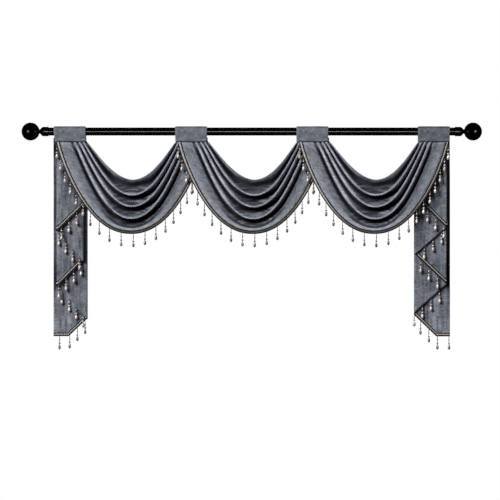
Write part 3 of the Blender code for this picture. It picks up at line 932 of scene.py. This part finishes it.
def tail_plan(inner, corners):
    """The stations of a tail, from the front layer to the back one."""
    width = inner - TAIL_OUTER
    plan = []
    rise = 0.0
    for (share0, layer0, z0), (share1, layer1, z1) in zip(corners, corners[1:]):
        if layer0 == layer1:
            run, fall = (share1 - share0) * width, z1 - z0
            rise = BRAID_WIDTH * np.hypot(run, fall) / abs(run)
            for w in np.linspace(0, 1, TAIL_FLAT_STEPS, endpoint=False):
                plan.append(Station(share0 + (share1 - share0) * w, layer0, z0 + fall * w, 0.0, rise))
            continue
        plan.append(Station(share0, layer0, z0, 0.0, rise))
        for j in range(1, TAIL_ARC_STEPS):
            turn = np.pi * j / TAIL_ARC_STEPS
            way = 1 if share0 > 0.5 else -1
            layer = layer0 + (1 - np.cos(turn)) / 2
            hem = z0 + (z1 - z0) * j / TAIL_ARC_STEPS
            plan.append(Station(share0, layer, hem, way * np.sin(turn), rise))
    plan.append(Station(share1, layer1, z1, 0.0, rise))
    return plan


def tail_point(station, z, inner):
    pitch = TAIL_TOP_PITCH + (TAIL_PITCH - TAIL_TOP_PITCH) * opened(z)
    fold = TAIL_INNER_TOP + (inner - TAIL_INNER_TOP) * opened(z)
    x = TAIL_OUTER + (fold - TAIL_OUTER) * station.share
    return np.array([x + station.swell * pitch / 2, TAIL_FRONT + station.layer * pitch, z])


def tail_noise(x, z, layer, side):
    """How far a layer's cloth stands out of its plane: long soft ripples that fall straight down."""
    ripple = soft_noise(x * 34 + layer * 13 + side * 5, z * 2.2, 51)
    dents = soft_noise(x * 22 + layer * 7, z * 9 + side * 3, 61)
    return RIPPLE_DEPTH * ripple + DENT_DEPTH * dents


def tail_tone_and_painted_shade(x, z, share, layer, hem, way):
    """The tail's tone: mottled in long streaks, a little lighter low down, darker just above each hem but the
    lowest, and with painted shade on the strip that shows beside the outer folds."""
    over_hem = bell(z - hem, 0.045, 0.028) * (hem > LOWEST_HEM)
    tone_and_painted_light = 0.49 + 0.07 * climb(-z, 0.70, 0.08) - 0.07 * over_hem
    tone_and_painted_light = tone_and_painted_light + 0.13 * soft_noise(x * 36 + layer * 3, z * 5, 71)
    tone_and_painted_light = tone_and_painted_light + 0.15 * soft_noise(x * 150 + layer * 7, z * 16, 81)
    shade = 0.25 + 0.75 * (climb(z, -0.74, 0.06) * climb(-z, 0.17, 0.06))
    # on the right, painted shadow of the front layers over the strip beside the outer folds
    if way > 0:
        inner_edge = 0.012 + 0.085 * climb(z, -0.70, 0.25)
        return tone_and_painted_light - 0.44 * climb(-inner_edge - share, 0, 0.03) * shade
    # on the left the painted shade lies only on the strip's lower end and a line down it, and on a patch at
    # the top, under the tab
    strip = 0.15 * climb(-0.012 - share, 0, 0.03) * bell(z, -0.655, 0.07) / shade
    strip = strip + 0.24 * bell(share, -0.118, 0.03)
    return tone_and_painted_light - 0.36 * bell(z, -0.078, 0.030) - strip * shade


def tail_grid(plan, inner, way):
    """A tail's middle surface as rows from its top to its hem, and its tone with painted shade."""
    downs = np.linspace(0, 1, TAIL_ROWS) ** 1.15
    grid = np.array([
        [tail_point(s, HEADER_TOP + (s.hem - HEADER_TOP) * down, inner) for s in plan] for down in downs
    ])
    share, layer, hem, swell, _ = np.array(plan).T[:, None, :]
    z = grid[:, :, 2]
    free = opened(z) * (swell == 0) * np.sin(np.pi * np.clip(share, 0, 1)) ** 0.5
    grid[:, :, 1] += tail_noise(grid[:, :, 0], z, layer, way) * free * climb(z - hem, 0.020, 0.03)
    return grid, tail_tone_and_painted_shade(grid[:, :, 0], z, share, layer, hem, way)


def tail_strand_roots(plan, inner, spacing, last_strand):
    """Where strands hang along a tail's hem, clear of its folds, and whether nothing is behind them."""
    hem_line = np.array([tail_point(s, s.hem, inner) for s in plan])
    walk = np.concatenate([[0], np.cumsum(np.linalg.norm(np.diff(hem_line, axis=0), axis=1))])
    corners = [
        walk[i]
        for i, (before, here, after) in enumerate(zip(plan, plan[1:], plan[2:]), 1)
        if here.swell == 0 and (before.swell != 0 or after.swell != 0)
    ]
    roots, clear = [], []
    for d in np.arange(walk[-1] - last_strand, 0, -spacing)[::-1]:
        if min(abs(corner - d) for corner in corners) <= FOLD_CLEAR:
            continue
        i = int(np.clip(np.searchsorted(walk, d) - 1, 0, len(plan) - 2))
        w = (d - walk[i]) / (walk[i + 1] - walk[i])
        spot = hem_line[i] + (hem_line[i + 1] - hem_line[i]) * w
        facing = -1 if round(plan[i].layer) % 2 == 0 else 1
        roots.append(spot + np.array([0, facing * ROOT_OFFSET, 0]))
        clear.append(plan[i].layer > LAST_LAYER - 0.5)
    return np.array(roots), clear


def build_tail(name, way, inner, spacing, last_strand, corners):
    tab = 1 if way < 0 else 4
    mirror, centre = (-way, 1, 1), (tab_centre(tab - 1), 0, 0)
    plan = tail_plan(inner, corners)
    grid, tone_and_painted_light = tail_grid(plan, inner, way)
    # [::way] makes columns run to the right, as on every grid, so that the front layer faces the room
    grid = (grid * mirror + centre)[:, ::way]
    cloth = sheet_piece(f"tail_{name}_cloth", grid, SHEET, VELVET, {"tone_and_painted_light": tone_and_painted_light[:, ::way]})
    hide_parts(f"tail_{name}")

    rows = []
    for up in np.linspace(1, 0, BRAID_ROWS):
        row = np.array([tail_point(s, s.hem + s.rise * up, inner) for s in plan]) * mirror + centre
        rows.append(row[::way])
    braid = braid_piece(f"tail_{name}_braid", rows, TAIL_LINE_LIT, TAIL_LINE_BREADTH, TAIL_LINE)
    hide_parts(f"tail_fringe_{name}")

    roots, clear = tail_strand_roots(plan, inner, spacing, last_strand)
    beads = beads_piece(f"tail_{name}_beads", roots * mirror + centre, 200 + way, clear)
    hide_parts(f"tail_fringe_{name}")


def build_tails():
    for side in TAIL_SIDES:
        build_tail(*side)


build_rod()
build_tabs()
build_swags()
build_tails()

# ---------------------------------------------------------------- floor, light and camera


def link_light(lamp, pieces, state):
    """Keeps a lamp's light off the pieces (EXCLUDE), or for them alone (INCLUDE)."""
    group = bpy.data.collections.new(f"{lamp.name} light")
    for piece in pieces:
        group.objects.link(piece)
    lamp.light_linking.receiver_collection = group
    for entry in group.collection_objects:
        entry.light_linking.link_state = state


def area_light(name, place, target, size, energy):
    """A lamp that shows in glossy pieces alone."""
    data = bpy.data.lights.new(name, "AREA")
    data.shape = "RECTANGLE"
    data.size, data.size_y = size
    data.energy = energy
    lamp = bpy.data.objects.new(name, data)
    lamp.location = place
    lamp.rotation_euler = (Vector(target) - Vector(place)).to_track_quat("-Z", "Y").to_euler()
    lamp.visible_diffuse = False
    lamp.visible_camera = False
    bpy.context.scene.collection.objects.link(lamp)
    return lamp


def sun_light(name, towards, strength, angle):
    data = bpy.data.lights.new(name, "SUN")
    data.energy = strength
    data.angle = np.radians(angle)
    lamp = bpy.data.objects.new(name, data)
    lamp.rotation_euler = Vector(towards).to_track_quat("Z", "Y").to_euler()
    bpy.context.scene.collection.objects.link(lamp)
    return lamp


def build_floor():
    mesh = bpy.data.meshes.new("floor")
    left, right, near, far, level = -20, 20, -20, 8, -2.2
    corners = [(left, near, level), (right, near, level), (right, far, level), (left, far, level)]
    mesh.from_pydata(corners, [], [(0, 1, 2, 3)])
    floor = bpy.data.objects.new("floor", mesh)
    material, nodes, links, shader = new_material("pale_floor")
    place = nodes.new("ShaderNodeTexCoord").outputs["Object"]
    greys = ((0.3, (0.74, 0.73, 0.72)), (0.7, (0.78, 0.775, 0.765)))
    pale = ramp(nodes, links, noise(nodes, links, place, 2.0, 3.0), greys)
    links.new(pale, shader.inputs["Base Color"])
    shader.inputs["Roughness"].default_value = 0.9
    mesh.materials.append(material)
    # the drape is lit by its lamps and the world alone, with no glow from below
    floor.visible_diffuse = False
    floor.visible_glossy = False
    bpy.context.scene.collection.objects.link(floor)


def build_world():
    """White behind the drape, and a dim even fill for everything it lights."""
    world = bpy.data.worlds.new("studio")
    bpy.context.scene.world = world
    world.use_nodes = True
    nodes, links = world.node_tree.nodes, world.node_tree.links
    fill = nodes["Background"]
    fill.inputs["Color"].default_value = (0.97, 0.98, 1.0, 1)
    fill.inputs["Strength"].default_value = 0.07
    backdrop = nodes.new("ShaderNodeBackground")
    backdrop.inputs["Color"].default_value = (1, 1, 1, 1)
    backdrop.inputs["Strength"].default_value = 1.0
    dark = nodes.new("ShaderNodeBackground")
    dark.inputs["Color"].default_value = (0.012, 0.012, 0.013, 1)
    path = nodes.new("ShaderNodeLightPath")
    shiny, seen = nodes.new("ShaderNodeMixShader"), nodes.new("ShaderNodeMixShader")
    links.new(path.outputs["Is Glossy Ray"], shiny.inputs["Fac"])
    links.new(fill.outputs["Background"], shiny.inputs[1])
    links.new(dark.outputs["Background"], shiny.inputs[2])
    links.new(path.outputs["Is Camera Ray"], seen.inputs["Fac"])
    links.new(shiny.outputs["Shader"], seen.inputs[1])
    links.new(backdrop.outputs["Background"], seen.inputs[2])
    links.new(seen.outputs["Shader"], nodes["World Output"].inputs["Surface"])


CAMERA_DISTANCE = 18.0
VIEW_WIDTH = 2.275
VIEW_CENTRE = (-0.008, -0.539)


def build_camera():
    data = bpy.data.cameras.new("camera")
    data.sensor_width = 36.0
    data.lens = data.sensor_width * CAMERA_DISTANCE / VIEW_WIDTH
    data.clip_end = 200
    camera = bpy.data.objects.new("camera", data)
    x, z = VIEW_CENTRE
    camera.location = (x, -CAMERA_DISTANCE, z)
    camera.rotation_euler = (np.pi / 2, 0, 0)
    bpy.context.scene.collection.objects.link(camera)
    bpy.context.scene.camera = camera


def build_lights():
    """Two suns light the cloth and the beads. The lacquer is nearly black and shows its own lamps: the rod
    and the collars one long strip, and each ball a small one."""
    balls = [bpy.data.objects[f"finial_{side}_ball"] for side in ("left", "right")]
    collars = [bpy.data.objects[f"finial_{side}_collar"] for side in ("left", "right")]
    lacquer = balls + collars + [bpy.data.objects["rod_lacquered"]]
    key = sun_light("key", towards=(-0.58, -0.66, 0.48), strength=4.15, angle=28)
    back = sun_light("back", towards=(0.34, 0.84, 0.42), strength=2.2, angle=30)
    link_light(key, lacquer, "EXCLUDE")
    link_light(back, lacquer, "EXCLUDE")
    strip = {"place": (0, -24, -1.8), "target": (0, 0, 0), "size": (4.8, 2.0)}
    link_light(area_light("front", energy=700, **strip), balls, "EXCLUDE")
    link_light(area_light("front_collars", energy=1200, **strip), collars, "INCLUDE")
    for way in (-1, 1):
        ball = way * (ROD_HALF_LENGTH + COLLAR_LENGTH + BALL_RADIUS)
        place = (ball + way * 0.50, -0.95, 0.0)
        lamp = area_light("ball", place, target=(ball, 0, 0), size=(0.34, 0.34), energy=2.6)
        link_light(lamp, balls, "INCLUDE")


build_camera()
build_floor()
build_world()
build_lights()
bpy.context.scene.view_settings.view_transform = "Standard"
bpy.context.scene.view_settings.look = "None"
